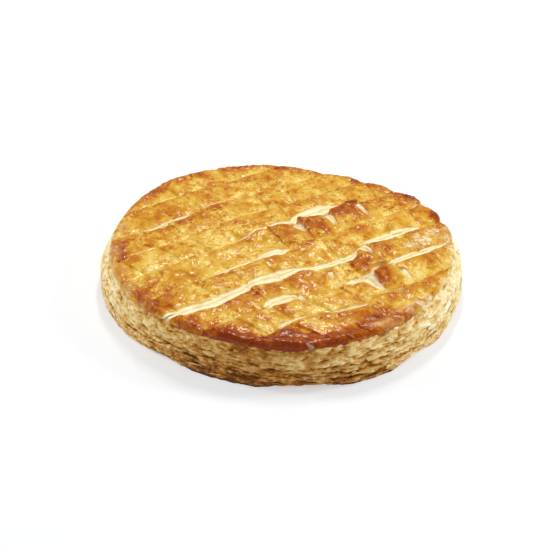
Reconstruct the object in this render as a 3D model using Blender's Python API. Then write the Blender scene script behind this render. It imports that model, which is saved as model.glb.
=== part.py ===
"""A galette des rois: a round cake of puff pastry, baked whole, with a lattice scored into its glazed top.

One closed solid, in metres, +Z up, standing on the middle of its flat base at the origin.
Two discs of pastry, sealed at the edge, have baked into one piece: a groove round the side shows
where they meet. The knife's long cuts run at SCORE_TURN from +X and the cross cuts square to them.
Some have gaped open in the oven, and the corners of a few panels have curled up beside them.
"""

import math

import bmesh
import bpy
import numpy as np
from mathutils import Vector
from mathutils.geometry import delaunay_2d_cdt

MM = 0.001

# The cake's plan and height. Lobes round the cake are listed as number, swell and turn in degrees.
RIM_RADIUS = 120.5 * MM  # edge of the glazed top, averaged round the cake
RIM_LOBES = ((1, 0.7 * MM, 114.0), (2, 2.4 * MM, -47.0), (3, 2.2 * MM, 18.0), (4, 1.5 * MM, 21.0))
BELLY_RADIUS = 125.6 * MM  # the widest line of the side
BELLY_LOBES = ((1, 0.7 * MM, -55.0), (2, 2.6 * MM, -37.0), (3, 1.3 * MM, 35.0), (4, 1.2 * MM, 19.0))
RIM_HEIGHT = 30.0 * MM  # the glazed edge above the base
RIM_RISE = ((3, 0.8 * MM, 250.0), (7, 0.5 * MM, 40.0), (11, 0.3 * MM, 95.0))
MIDDLE_RISE = 3.2 * MM  # how much the middle stands above the edge

# The side's profile from the glazed lip down to the base: height as a share of the edge's,
# how far out it lies from the rim (0) to the belly (1), and how much it juts or sinks there.
SIDE_PROFILE = (
    (0.985, 0.00, -2.2 * MM),  # the shoulder, where the top begins to roll over
    (0.930, 0.00, 0.0),  # the glazed lip
    (0.865, 0.05, -1.2 * MM),  # the undercut below it
    (0.800, 0.40, 0.5 * MM),
    (0.740, 0.55, -0.6 * MM),
    (0.670, 0.78, 0.4 * MM),
    (0.600, 0.92, -0.3 * MM),
    (0.530, 0.98, 0.5 * MM),  # the belly of the upper disc
    (0.450, 0.97, -0.3 * MM),
    (0.385, 0.85, -3.0 * MM),  # the seam between the two discs
    (0.335, 1.00, 0.1 * MM),
    (0.280, 1.05, 0.8 * MM),  # the belly of the lower disc
    (0.225, 1.02, -0.7 * MM),
    (0.170, 1.00, 0.5 * MM),
    (0.110, 0.95, -0.6 * MM),
    (0.035, 0.80, -0.4 * MM),  # the foot's rounded edge
    (0.000, 0.55, -1.2 * MM),  # the edge of the flat base
)
SIDE_POINTS = 120
SEAM_SHARE = 0.385
SEAM_RISE = ((2, 1.0 * MM, 200.0), (5, 0.5 * MM, 20.0))
# The leaves of pastry on the side are uneven, each in its own way, and most of all at the front right.
LEAF_LOBES = ((5, 0.5 * MM), (11, 0.5 * MM), (23, 0.45 * MM), (37, 0.35 * MM))
LEAF_RISE_SHARE = 0.7
LEAF_TURN = math.radians(137.5)  # how far each leaf's unevenness is turned from the one above it
ROUGHEST_TURN = math.radians(-35.0)
SMOOTHEST_SHARE = 0.4

# The knife's cuts, by their distance from the middle of the cake.
SCORE_TURN = math.radians(34.0)
LONG_CUTS = tuple(MM * at for at in (-114, -88.5, -62, -36, -11, 17.5, 44, 70.5, 97, 123))
CROSS_CUTS = tuple(MM * at for at in (-129, -103, -74, -49, -25, 0, 23.5, 47, 76, 99, 126))
FAN = 3.4  # within each strip the cross cuts fan out: lean per metre from the middle of the cake
FRONT_BEND = 2.2  # toward the front edge they lean over by this times the square of the distance
FRONT_BEND_FROM = -42 * MM
MIDDLE_STRIP = 4  # the strip that holds the middle of the cake
CLOSED_HALF_WIDTH = 0.5 * MM
CREASE_DEPTH = 2.0 * MM
CREVICE_DEPTH = 5.0 * MM  # in a gape, at the foot of the wall on its far side
FLOOR_DEPTH = 3.0 * MM  # in a gape, where the soft layers beneath have puffed up
FULL_DEPTH_WIDTH = 2.5 * MM  # half width at which a gape reaches its full depth
CREVICE_SHARE = 0.45  # where the crevice and the top of the floor lie, as shares of the half width
FLOOR_SHARE = 0.35

# Where cuts gape: cut's number, middle of the gape along it, half length, half width, shift across.
LONG_GAPES = (
    (7, -31, 42, 1.8, 2.5),
    (5, 6, 28, 2.0, 0.5),
    (5, 46, 28, 6.4, 4.0),
    (4, -38, 40, 1.8, 0.0),
    (4, -15, 16, 3.2, -1.0),
    (3, -114, 38, 2.2, 6.0),
    (3, -68, 36, 3.2, 0.0),
    (3, -30, 26, 3.8, 0.0),
    (3, 15, 28, 3.0, -6.0),
    (3, 74, 42, 3.6, 1.5),
    (2, -41, 14, 4.8, 2.0),
    (2, -10, 24, 1.5, -5.0),
    (2, 21, 13, 5.2, -7.0),
    (2, 37, 9, 2.8, 0.0),
    (2, 72, 28, 1.9, -2.5),
    (1, -43, 20, 1.6, 5.0),
    (1, -6, 20, 1.4, -4.0),
)
CROSS_GAPES = (
    (4, 86, 12, 1.2, 0.0),
    (4, 49, 13, 2.2, 0.0),
    (4, -72, 9, 1.5, 0.0),
    (5, 87, 16, 1.4, 0.0),
    (5, -60, 9, 2.0, 0.0),
    (6, 5, 13, 2.8, -5.0),
    (6, -76, 15, 3.0, -1.0),
    (7, 1, 14, 3.0, 0.0),
    (7, -85, 10, 2.4, 0.0),
    (8, 7, 15, 3.4, -2.0),
    (2, -25, 10, 1.5, 0.0),
)
# Panels with a curled corner: cross cut and long cut before the panel, the corner (0 near, 1 far), lift.
CURLED_CORNERS = (
    (6, 4, 0, 1, 5.0 * MM),
    (7, 4, 0, 1, 4.5 * MM),
    (7, 4, 1, 1, 3.5 * MM),
    (6, 1, 0, 1, 4.5 * MM),
    (6, 2, 1, 0, 3.0 * MM),
    (3, 6, 0, 1, 2.6 * MM),
    (5, 4, 0, 1, 2.2 * MM),
    (4, 1, 1, 0, 1.8 * MM),
)
CURL_FALL = 1.5  # the power by which a curl falls off from its corner
PUFF = 2.2 * MM  # how much a panel's middle stands above its cut edges
PUFF_RUN = 7.0 * MM  # how far from a cut edge the panel reaches its full height
EDGE_STAND_OFF = 0.5 * MM  # the panel's cut edge, beyond the gape

# The lattice's lines from one cut to the next: a panel between its two edges, and the cuts beside it.
LINES = ("crevice", "edge", "shoulder", "far shoulder", "far edge", "floor")

# Where a cut runs out through the edge, the lip is notched.
NOTCH_DEPTH = 1.2 * MM
RIGHT_NOTCH_DEPTH = 4.0 * MM  # the long cuts' far ends, where the strips have drawn apart
NOTCH_SINK = 1.6 * MM
NOTCH_END_SHARE = 0.75  # share of the edge's height at which the notches have faded out
FOOT_SHARE = 0.15  # share of the edge's height below which the leaves press flat
RING_MARGIN = 1.6 * MM  # bare band between the lattice's last points and the shoulder

CRUST_COLOUR = (0.56, 0.27, 0.06, 1.0)


def lobed(angle, lobes):
    """The sum of a few cosine lobes round the cake."""
    return sum(swell * np.cos(count * (angle - math.radians(turn))) for count, swell, turn in lobes)


def rim_radius(angle):
    """Plan radius of the glazed edge, before notches."""
    return RIM_RADIUS + lobed(angle, RIM_LOBES)


def rim_height(angle):
    """Height of the glazed edge above the base."""
    return RIM_HEIGHT + lobed(angle, RIM_RISE)


def leaf_lobes(angle, leaf):
    """How much one leaf of the side juts out, round the cake."""
    turn = leaf * LEAF_TURN
    uneven = sum(swell * np.cos(count * (angle - turn)) for count, swell in LEAF_LOBES)
    roughness = SMOOTHEST_SHARE + (1 - SMOOTHEST_SHARE) * (1 + np.cos(angle - ROUGHEST_TURN)) / 2
    return uneven * roughness


def smooth_bump(distance, reach):
    """1 at distance 0, falling smoothly to 0 at reach and beyond."""
    share = np.clip(1 - (distance / reach) ** 2, 0, 1)
    return share * share


def cut_line(cuts, cut, place, gapes):
    """A cut at a place along it: where its middle lies, and half its width there."""
    middle, width = cuts[cut], CLOSED_HALF_WIDTH
    for number, gape_at, half_length, widest, shift in gapes:
        if number == cut:
            strength = float(smooth_bump(place - gape_at * MM, half_length * MM))
            width = max(width, widest * MM * strength)
            middle += shift * MM * strength
    return middle, width


def leaned(along, across, strip):
    """Where a cross cut lies once it leans: its place along the strip between two long cuts."""
    strip_middle = (LONG_CUTS[strip] + LONG_CUTS[strip + 1]) / 2
    bend = FRONT_BEND * min(0.0, across - FRONT_BEND_FROM) ** 2
    return along * (1 + FAN * (across - strip_middle)) + bend


def plan_point(along, across, strip):
    """Plan position of a point given along and across the long cuts, in the strip between two of them."""
    along = leaned(along, across, strip)
    turn_cos, turn_sin = math.cos(SCORE_TURN), math.sin(SCORE_TURN)
    return along * turn_cos - across * turn_sin, along * turn_sin + across * turn_cos


def dome_height(x, y):
    """Height of the top before scoring: a low dome whose edge follows the rim."""
    angle = math.atan2(y, x)
    share = math.hypot(x, y) / rim_radius(angle)
    return rim_height(angle) + MIDDLE_RISE * (1 - share * share)


def curl(panel, near_along, near_across):
    """Lift of a panel at a point, from its curled corners. The shares run from 0 to 1 over the panel."""
    lift = 0.0
    for cross_cut, long_cut, far_along, far_across, height in CURLED_CORNERS:
        if panel == (cross_cut, long_cut):
            away_along = 1 - near_along if far_along else near_along
            away_across = 1 - near_across if far_across else near_across
            lift += height * ((1 - away_along) * (1 - away_across)) ** CURL_FALL
    return lift


def place_line(cuts, cut, line, places, gapes):
    """One lattice line between a cut and the next, at its place along each of the two.

    Gives where it lies, how deep it sinks and, for a panel's lines, the share of the way over the panel.
    """
    low_middle, low_width = cut_line(cuts, cut, places[0], gapes)
    high_middle, high_width = cut_line(cuts, cut + 1, places[1], gapes)
    if line == "crevice":
        opened = min(1.0, (low_width - CLOSED_HALF_WIDTH) / FULL_DEPTH_WIDTH)
        depth = PUFF + CREASE_DEPTH + (CREVICE_DEPTH - CREASE_DEPTH) * opened
        return low_middle + CREVICE_SHARE * low_width, depth, None
    if line == "floor":
        opened = min(1.0, (high_width - CLOSED_HALF_WIDTH) / FULL_DEPTH_WIDTH)
        depth = PUFF + CREASE_DEPTH + (FLOOR_DEPTH - CREASE_DEPTH) * opened
        return high_middle - FLOOR_SHARE * high_width, depth, None
    low = low_middle + low_width + EDGE_STAND_OFF
    high = high_middle - high_width - EDGE_STAND_OFF
    run = min(PUFF_RUN, (high - low) / 3)
    place = {"edge": low, "shoulder": low + run, "far shoulder": high - run, "far edge": high}[line]
    depth = PUFF if line in ("edge", "far edge") else 0.0
    return place, depth, (place - low) / (high - low)


def lattice_points():
    """The scored top as a grid that follows the cuts: {(column, row): (x, y, z)}."""
    points = {}
    for column in range(len(LINES) * (len(CROSS_CUTS) - 1)):
        cross_cut, cross_line = column // len(LINES), LINES[column % len(LINES)]
        for row in range(len(LINES) * (len(LONG_CUTS) - 1)):
            long_cut, long_line = row // len(LINES), LINES[row % len(LINES)]
            places = []
            for cut in (long_cut, long_cut + 1):
                end = LONG_CUTS[cut]
                rough = place_line(CROSS_CUTS, cross_cut, cross_line, (end, end), CROSS_GAPES)[0]
                end = cut_line(LONG_CUTS, cut, leaned(rough, end, long_cut), LONG_GAPES)[0]
                places.append(leaned(rough, end, long_cut))
            across, long_sink, share_across = place_line(LONG_CUTS, long_cut, long_line, places, LONG_GAPES)
            places = (across, across)
            along, cross_sink, share_along = place_line(
                CROSS_CUTS, cross_cut, cross_line, places, CROSS_GAPES
            )
            x, y = plan_point(along, across, long_cut)
            z = dome_height(x, y) + PUFF - max(long_sink, cross_sink)
            if share_along is not None and share_across is not None:
                z += curl((cross_cut, long_cut), share_along, share_across)
            points[column, row] = (x, y, z)
    return points


def edge_crossings():
    """Where the cuts run out through the edge: (angle, depth of the notch)."""
    found = []
    for cut in LONG_CUTS[1:-1]:
        reach = math.sqrt(max(0.0, RIM_RADIUS**2 - cut**2))
        for side, depth in ((-1, NOTCH_DEPTH), (1, RIGHT_NOTCH_DEPTH)):
            x, y = plan_point(side * reach, cut, MIDDLE_STRIP)
            found.append((math.atan2(y, x), depth))
    for cut in CROSS_CUTS[1:-1]:
        reach = math.sqrt(max(0.0, RIM_RADIUS**2 - cut**2))
        for side in (-1, 1):
            x, y = plan_point(cut, side * reach, MIDDLE_STRIP)
            found.append((math.atan2(y, x), NOTCH_DEPTH))
    return found


def ring_angles():
    """Evenly spaced angles round the side, the nearest of them moved onto each notch, and its depth there."""
    angles = np.linspace(-math.pi, math.pi, SIDE_POINTS, endpoint=False)
    depths = np.zeros(SIDE_POINTS)
    for angle, depth in edge_crossings():
        gap = np.abs((angles - angle + math.pi) % (2 * math.pi) - math.pi)
        nearest = int(np.argmin(gap))
        if depths[nearest] == 0:
            angles[nearest] = angle
            depths[nearest] = depth
    return angles, depths


def side_rings(angles, notches):
    """The side as rings of points, from the shoulder down to the base. A notch fades out below the lip."""
    rings = []
    rim, belly, height = rim_radius(angles), BELLY_RADIUS + lobed(angles, BELLY_LOBES), rim_height(angles)
    for leaf, (share, out, jut) in enumerate(SIDE_PROFILE):
        notched = max(0.0, (share - NOTCH_END_SHARE) / (1 - NOTCH_END_SHARE))
        loose = (1 - notched) * min(1.0, share / FOOT_SHARE)
        radius = rim + (belly - rim) * out + jut + leaf_lobes(angles, leaf) * loose - notches * notched
        z = height * share - NOTCH_SINK * notches / RIGHT_NOTCH_DEPTH * notched
        z = z + leaf_lobes(angles, leaf + 0.5) * LEAF_RISE_SHARE * loose
        z = z + lobed(angles, SEAM_RISE) * max(0.0, 1 - abs(share - SEAM_SHARE) / SEAM_SHARE)
        if share == 0:
            z = z * 0
        rings.append(np.stack([radius * np.cos(angles), radius * np.sin(angles), z], axis=1))
    return rings


def inside_ring(x, y, angles, radii, margin):
    """Whether a plan point lies inside the ring by at least the margin."""
    angle = math.atan2(y, x)
    order = np.argsort(angles)
    edge = np.interp(angle, angles[order], radii[order], period=2 * math.pi)
    return math.hypot(x, y) < edge - margin


def top_surface(ring):
    """The scored top, triangulated out to the shoulder ring: (points, triangles), the ring's points first."""
    angles = np.arctan2(ring[:, 1], ring[:, 0])
    radii = np.hypot(ring[:, 0], ring[:, 1])
    points = [tuple(point) for point in ring]
    count = len(points)
    edges = [(at, (at + 1) % count) for at in range(count)]
    kept = {}
    for key, point in lattice_points().items():
        if inside_ring(point[0], point[1], angles, radii, RING_MARGIN):
            kept[key] = len(points)
            points.append(point)
    for (column, row), index in kept.items():
        strip_ends = row % len(LINES) == len(LINES) - 1
        neighbours = ((column + 1, row),) if strip_ends else ((column + 1, row), (column, row + 1))
        for neighbour in neighbours:
            if neighbour in kept:
                edges.append((index, kept[neighbour]))
    flat = [Vector((x, y)) for x, y, _ in points]
    inside_only = 1
    merge_within = 1e-6
    _, _, faces, sources, _, _ = delaunay_2d_cdt(flat, edges, [], inside_only, merge_within)
    back = [source[0] for source in sources]
    return points, [tuple(back[corner] for corner in face) for face in faces]


def build_galette():
    """Joins the top, the side's rings and the flat base into one closed mesh."""
    angles, notches = ring_angles()
    rings = side_rings(angles, notches)
    points, triangles = top_surface(rings[0])
    mesh = bmesh.new()
    top = [mesh.verts.new(point) for point in points]
    for triangle in triangles:
        mesh.faces.new([top[corner] for corner in triangle])
    upper = top[: len(angles)]
    for ring in rings[1:]:
        lower = [mesh.verts.new(point) for point in ring]
        for at in range(len(lower)):
            after = (at + 1) % len(lower)
            mesh.faces.new((upper[at], upper[after], lower[after], lower[at]))
        upper = lower
    mesh.faces.new(upper)
    bmesh.ops.recalc_face_normals(mesh, faces=mesh.faces)
    bmesh.ops.triangulate(mesh, faces=mesh.faces)
    corners = np.array([vertex.co for vertex in mesh.verts])
    middle = (corners.min(axis=0) + corners.max(axis=0)) / 2
    bmesh.ops.translate(mesh, verts=mesh.verts, vec=(-middle[0], -middle[1], 0))
    data = bpy.data.meshes.new("galette")
    mesh.to_mesh(data)
    mesh.free()
    return data


def crust_material():
    """Glazed, golden-brown puff pastry."""
    material = bpy.data.materials.new("golden_crust")
    material.use_nodes = True
    shader = material.node_tree.nodes["Principled BSDF"]
    shader.inputs["Base Color"].default_value = CRUST_COLOUR
    shader.inputs["Roughness"].default_value = 0.45
    shader.inputs["Metallic"].default_value = 0.0
    return material


def main():
    for old in list(bpy.data.objects):
        bpy.data.objects.remove(old)
    data = build_galette()
    data.shade_smooth()
    data.set_sharp_from_angle(angle=math.radians(40))
    data.materials.append(crust_material())
    bpy.context.scene.collection.objects.link(bpy.data.objects.new("galette", data))


main()
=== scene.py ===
"""The looks of a galette des rois: its glazed, scored crust, its flaky side, its baked underside and loose leaves."""

import math

import bpy
import numpy as np
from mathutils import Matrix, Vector


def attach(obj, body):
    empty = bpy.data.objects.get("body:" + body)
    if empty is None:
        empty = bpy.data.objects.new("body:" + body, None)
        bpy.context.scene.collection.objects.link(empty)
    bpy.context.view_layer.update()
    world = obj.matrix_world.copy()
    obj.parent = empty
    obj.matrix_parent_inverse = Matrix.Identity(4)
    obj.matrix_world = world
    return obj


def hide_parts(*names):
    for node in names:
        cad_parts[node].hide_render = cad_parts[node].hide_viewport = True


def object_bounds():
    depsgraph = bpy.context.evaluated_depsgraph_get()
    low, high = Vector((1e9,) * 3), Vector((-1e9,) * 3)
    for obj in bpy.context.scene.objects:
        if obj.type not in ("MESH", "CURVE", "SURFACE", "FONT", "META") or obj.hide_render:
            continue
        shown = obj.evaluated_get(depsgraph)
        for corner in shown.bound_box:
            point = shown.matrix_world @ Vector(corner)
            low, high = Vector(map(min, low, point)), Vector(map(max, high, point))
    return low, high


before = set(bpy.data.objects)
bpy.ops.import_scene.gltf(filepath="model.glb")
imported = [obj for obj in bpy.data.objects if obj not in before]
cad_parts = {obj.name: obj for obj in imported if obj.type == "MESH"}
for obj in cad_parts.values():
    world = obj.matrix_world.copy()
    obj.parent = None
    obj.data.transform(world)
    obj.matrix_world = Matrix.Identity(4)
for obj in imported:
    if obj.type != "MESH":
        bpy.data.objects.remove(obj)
cad_low, cad_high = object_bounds()

# ---------------------------------------------------------------------------
# The glazed crust. The top sheet of puff pastry, brushed with egg and scored with a knife in a
# lattice before baking. It rises between the cuts, some of which tear open and show the pale
# leaves beneath, and it browns most at the edge, where it rolls over the side.
# ---------------------------------------------------------------------------

MM = 0.001

# The plan, as the frame has it. Lobes round the cake are listed as number, swell and turn in degrees.
PLAN_SHIFT = (-0.29 * MM, 2.54 * MM)
RIM_RADIUS = 120.5 * MM
RIM_LOBES = ((1, 0.7 * MM, 114.0), (2, 2.4 * MM, -47.0), (3, 2.2 * MM, 18.0), (4, 1.5 * MM, 21.0))
RIM_HEIGHT = 30.0 * MM
RIM_RISE = ((3, 0.8 * MM, 250.0), (7, 0.5 * MM, 40.0), (11, 0.3 * MM, 95.0))
MIDDLE_RISE = 3.2 * MM

# The knife's cuts, by their distance from the middle of the cake.
SCORE_TURN = math.radians(34.0)
LONG_CUTS = MM * np.array([-127, -88.5, -62, -36, -11, 17.5, 44, 70.5, 97, 132])
CROSS_CUTS = MM * np.array([-136, -103, -74, -49, -25, 0, 23.5, 47, 76, 99, 136])
FAN = 3.4
FRONT_BEND = 2.2
FRONT_BEND_FROM = -42 * MM
STAGGER = MM * np.array([0, 0, 0, 0, 0, 2.0, -3.0, 3.5, -2.0])  # of each strip's cross cuts
CLOSED_HALF_WIDTH = 0.5 * MM
GAPE_LEAN = 0.2
CREASE_DEPTH = 0.8 * MM
NEAR_DROP = 0.5 * MM
FLOOR_DEPTH = 0.3 * MM
FAR_DROP = 0.6 * MM
FULL_DEPTH_WIDTH = 1.8 * MM
LEAST_OPEN = 0.02
OPEN_RUN = 22 * MM
TILT = 1.5 * MM
PANEL_RISE = 0.5 * MM
EDGE_STAND_OFF = 0.35 * MM

# Where long cuts gape: cut's number, middle of the gape along it, half length, half width, shift across.
LONG_GAPES = (
    (7, -50, 26, 2.6, -2.4),
    (7, -10, 24, 1.7, 0.6),
    (5, -16, 22, 1.6, 2.0),
    (5, 12, 26, 3.6, 3.0),
    (5, 47, 24, 7.6, 4.0),
    (4, -38, 40, 2.4, 0.0),
    (4, -15, 16, 4.0, -1.0),
    (3, -116, 34, 0.8, 3.4),
    (3, -84, 36, 6.2, -4.8),
    (3, -68, 36, 4.6, 0.0),
    (3, -30, 26, 5.2, 0.0),
    (3, 15, 28, 4.0, -6.0),
    (3, 36, 14, 1.5, -3.0),
    (3, 70, 29, 5.4, 1.5),
    (2, -41, 14, 4.8, 2.0),
    (2, -10, 24, 1.5, -5.0),
    (2, 22, 13, 3.0, -5.0),
    (2, 37, 9, 2.8, 0.0),
    (2, 72, 30, 3.4, -2.5),
    (1, -43, 20, 1.9, 5.0),
    (1, -6, 20, 1.7, -4.0),
)
# Where cross cuts tear open toward a long one: number, closed end, open end, half width there, shift.
CROSS_GAPES = (
    (8, -11, 14, 3.4, -3.0),
    (7, -13, 14, 2.6, 0.0),
    (6, -7, 15.5, 3.0, -2.8),
    (7, -57, -38, 2.6, -6.0),
    (6, -92, -66, 5.0, -2.5),
    (7, -93, -74, 2.2, 0.0),
    (6, -104, -88, 1.6, 7.0),
    (4, -80, -62, 2.0, -4.0),
    (5, -68, -50, 1.9, 6.0),
    (4, 38, 57, 1.2, 1.5),
)
# Panels with a curled corner: cross cut and long cut before the panel, the corner (0 near, 1 far), lift.
CURLED_CORNERS = (
    (6, 4, 0, 1, 4.2 * MM),
    (7, 4, 0, 1, 3.8 * MM),
    (7, 4, 1, 1, 3.0 * MM),
    (6, 1, 0, 1, 4.2 * MM),
    (6, 2, 1, 0, 3.0 * MM),
    (3, 6, 0, 1, 1.3 * MM),
    (5, 4, 0, 1, 2.2 * MM),
    (4, 1, 1, 0, 1.8 * MM),
)
CURL_FALL_ALONG = 0.6
CURL_FALL_ACROSS = 1.4
PUFF = 1.6 * MM
PUFF_RUN = 7.0 * MM
RIM_PUFF_SHARE = 0.4
RIM_PUFF_RUN = 12 * MM
LIP_RADIUS = 1.7 * MM
LIP_DROP = 0.4 * MM
LIP_DROP_WAVE = 0.25 * MM


def chance(cell_x, cell_y, cell_z, seed):
    """A fixed random number from 0 to 1 for each whole-numbered place: an integer hash of it."""
    mix = cell_x.astype(np.uint64) * np.uint64(73856093)
    mix = mix ^ (cell_y.astype(np.uint64) * np.uint64(19349663))
    mix = mix ^ (cell_z.astype(np.uint64) * np.uint64(83492791))
    mix = (mix + np.uint64(seed * 7919 + 104729)) & np.uint64(0xFFFFFFFF)
    for shift, factor in ((15, 2246822519), (13, 3266489917)):
        mix = ((mix ^ (mix >> np.uint64(shift))) * np.uint64(factor)) & np.uint64(0xFFFFFFFF)
    return (mix ^ (mix >> np.uint64(16))).astype(np.float64) / 0xFFFFFFFF


def noise(x, y, z, seed):
    """Gradient noise, about -1 to 1: every whole-numbered place has a random slope, and the slopes
    of the eight places around a point blend by 6t^5 - 15t^4 + 10t^3."""
    x, y, z = np.broadcast_arrays(x, y, z)
    low = [np.floor(axis) for axis in (x, y, z)]
    inside = [axis - floor for axis, floor in zip((x, y, z), low)]
    blend = [t * t * t * (t * (t * 6 - 15) + 10) for t in inside]
    total = np.zeros(x.shape)
    for step_x in (0, 1):
        for step_y in (0, 1):
            for step_z in (0, 1):
                steps = (step_x, step_y, step_z)
                cell = [(floor + step).astype(np.int64) for floor, step in zip(low, steps)]
                weight = np.ones(x.shape)
                slope = np.zeros(x.shape)
                for axis in range(3):
                    weight = weight * (blend[axis] if steps[axis] else 1 - blend[axis])
                    slope = slope + (2 * chance(*cell, seed + 31 * axis) - 1) * (inside[axis] - steps[axis])
                total = total + weight * slope
    return 1.6 * total


def fractal(x, y, z, seed, octaves):
    """Noise at a size, half that size and so on, each half as strong as the one before."""
    return sum(noise(x * 2**o, y * 2**o, z * 2**o, seed + 97 * o) / 2**o for o in range(octaves))


def cells(x, y, seed):
    """Distance from each point to the nearest of one random spot in every square, and that spot's chance."""
    x, y = np.broadcast_arrays(x, y)
    low_x, low_y = np.floor(x), np.floor(y)
    nearest = np.full(x.shape, 9.0)
    luck = np.zeros(x.shape)
    for step_x in (-1, 0, 1):
        for step_y in (-1, 0, 1):
            cell_x, cell_y = (low_x + step_x).astype(np.int64), (low_y + step_y).astype(np.int64)
            spot_x = low_x + step_x + chance(cell_x, cell_y, cell_x * 0, seed)
            spot_y = low_y + step_y + chance(cell_x, cell_y, cell_x * 0, seed + 1)
            distance = np.hypot(x - spot_x, y - spot_y)
            closer = distance < nearest
            nearest = np.where(closer, distance, nearest)
            luck = np.where(closer, chance(cell_x, cell_y, cell_x * 0, seed + 2), luck)
    return nearest, luck


def smooth(value):
    """3t^2 - 2t^3, with t held between 0 and 1."""
    held = np.clip(value, 0, 1)
    return held * held * (3 - 2 * held)


def bump(distance, reach):
    """(1 - (distance / reach)^2)^2 within reach, and 0 beyond it."""
    return np.clip(1 - (distance / reach) ** 2, 0, 1) ** 2


def lobed(angle, lobes):
    """The sum of a few cosine lobes round the cake."""
    return sum(swell * np.cos(count * (angle - math.radians(turn))) for count, swell, turn in lobes)


def rim_radius(angle):
    return RIM_RADIUS + lobed(angle, RIM_LOBES)


def rim_height(angle):
    return RIM_HEIGHT + lobed(angle, RIM_RISE)


def cut_line(cuts, cut, place, gapes):
    """A cut at a place along it: where its middle lies and half its width, the widest gape's.

    A long cut's gape has even sides: 1 - |t|^3 of its half width. A cross cut's tear widens evenly from its closed end to its
    open one, and is shut beyond that.
    """
    middle = cuts[cut] + 0 * place
    width = np.full(np.shape(place), CLOSED_HALF_WIDTH)
    for number, first, second, widest, shift in gapes:
        if gapes is LONG_GAPES:
            strength = np.clip(1 - np.abs(place / MM - first) ** 3 / second**3, 0, 1)
        else:
            opened = (place / MM - first) / (second - first)
            strength = np.clip(opened, 0, 1) * (1 - smooth((opened - 1) * 8))
        strength = np.where(cut == number, strength, 0)
        width = np.maximum(width, widest * MM * strength)
        middle = middle + (shift + GAPE_LEAN * widest) * MM * strength
    return middle, width


def leaned(along, across, strip):
    """Along times (1 + FAN times the distance from the strip's middle), plus the bend at the front
    and the strip's own stagger."""
    strip_middle = (LONG_CUTS[strip] + LONG_CUTS[strip + 1]) / 2
    bend = FRONT_BEND * np.minimum(0, across - FRONT_BEND_FROM) ** 2
    return along * (1 + FAN * (across - strip_middle)) + bend + STAGGER[strip]


GAP_STEPS = (0.0, 0.2, 0.4, 0.6, 0.78, 0.92)  # shares of the half width, from a cut's middle outward
PANEL_STEPS = 23
PANEL_CROWDING = 0.5  # lines lie closer toward a panel's edges


def cell_lines(count):
    """The lattice's lines over a number of cells: each one's cell, zone (-1 gap before the panel,
    0 panel, 1 gap after it) and share (of the gap's half width, or of the panel)."""
    steps = np.linspace(0, 1, PANEL_STEPS)
    shares = steps - PANEL_CROWDING * np.sin(2 * math.pi * steps) / (2 * math.pi)
    zone = np.concatenate([np.full(len(GAP_STEPS), -1), np.zeros(PANEL_STEPS), np.full(len(GAP_STEPS) - 1, 1)])
    share = np.concatenate([GAP_STEPS, shares, GAP_STEPS[:0:-1]])
    cell = np.repeat(np.arange(count), len(zone))
    return cell, np.tile(zone, count).astype(int), np.tile(share, count)


def place_line(cuts, cell, zone, share, places, gapes):
    """Where a line lies between two cuts, the room to each of the panel's edges, and the gap's half width.

    Before the panel: low cut's middle + share * half width. After it: high cut's middle - share * half
    width. On the panel: from edge to edge by the share.
    """
    low_middle, low_width = cut_line(cuts, cell, places[0], gapes)
    high_middle, high_width = cut_line(cuts, cell + 1, places[1], gapes)
    low_edge = low_middle + low_width + EDGE_STAND_OFF
    high_edge = high_middle - high_width - EDGE_STAND_OFF
    on_panel = low_edge + share * (high_edge - low_edge)
    before = low_middle + share * (low_width + EDGE_STAND_OFF)
    after = high_middle - share * (high_width + EDGE_STAND_OFF)
    place = np.where(zone == 0, on_panel, np.where(zone < 0, before, after))
    width = np.where(zone > 0, high_width, low_width)
    return place, np.minimum(on_panel - low_edge, high_edge - on_panel), width


def gap_relief(gap_place, width, open_share):
    """Height across a gap, from the near panel's edge (-1) to the far one's (1), and how far it gapes.

    A closed cut is a crease of depth 1 - q^2. A gaping one drops behind the near panel's edge, and
    its floor of risen leaves climbs back almost level with the far panel, behind a thin crevice.
    """
    opened = smooth((width - CLOSED_HALF_WIDTH) / FULL_DEPTH_WIDTH)
    crease = -CREASE_DEPTH * open_share * np.sqrt(np.clip(1 - np.abs(gap_place), 0, 1))
    drop = -NEAR_DROP * smooth((1 + gap_place) / 0.2) * (1 - smooth((gap_place + 0.8) / 0.7))
    bed = -FLOOR_DEPTH * smooth((1 + gap_place) / 0.4) * smooth((1 - gap_place) / 0.3)
    crevice = -FAR_DROP * bump(gap_place - 0.72, 0.24)
    return crease * (1 - opened) + (drop + bed + crevice) * opened, opened


def either_side(cell, zone, share):
    """The panels before and after a line, its share of each, and how far it lies from one to the other."""
    before = np.where(zone < 0, cell - 1, cell)
    after = np.where(zone > 0, cell + 1, cell)
    passed = np.where(zone == 0, 0.5, smooth((1 - zone * share) / 2))
    inside = zone == 0
    return (before, np.where(inside, share, 1), 1 - passed), (after, np.where(inside, share, 0), passed)


def panel_values(cross, long):
    """Each panel's own height and browning, blended over the cuts from one panel to the next.

    Panels lie like tiles: height = chance + TILT * ((0.5 - share along) + (share across - 0.5)), each
    part by the panel's own chance. Browning follows the tilt.
    """
    height, brown = 0, 0
    for cross_cell, along_share, cross_weight in either_side(*cross):
        for long_cell, across_share, long_weight in either_side(*long):
            luck = [chance(*np.broadcast_arrays(cross_cell + 9, long_cell + 9, 0 * long_cell), 200 + n) for n in range(4)]
            tilt = (0.1 + 0.6 * luck[0]) * (0.5 - along_share) + (0.35 + 0.9 * luck[1]) * (across_share - 0.5)
            weight = cross_weight * long_weight
            height = height + weight * (TILT * tilt + PANEL_RISE * (luck[2] - 0.5))
            brown = brown + weight * (0.2 * tilt + 0.14 * (luck[3] - 0.5))
    return height, brown


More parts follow.
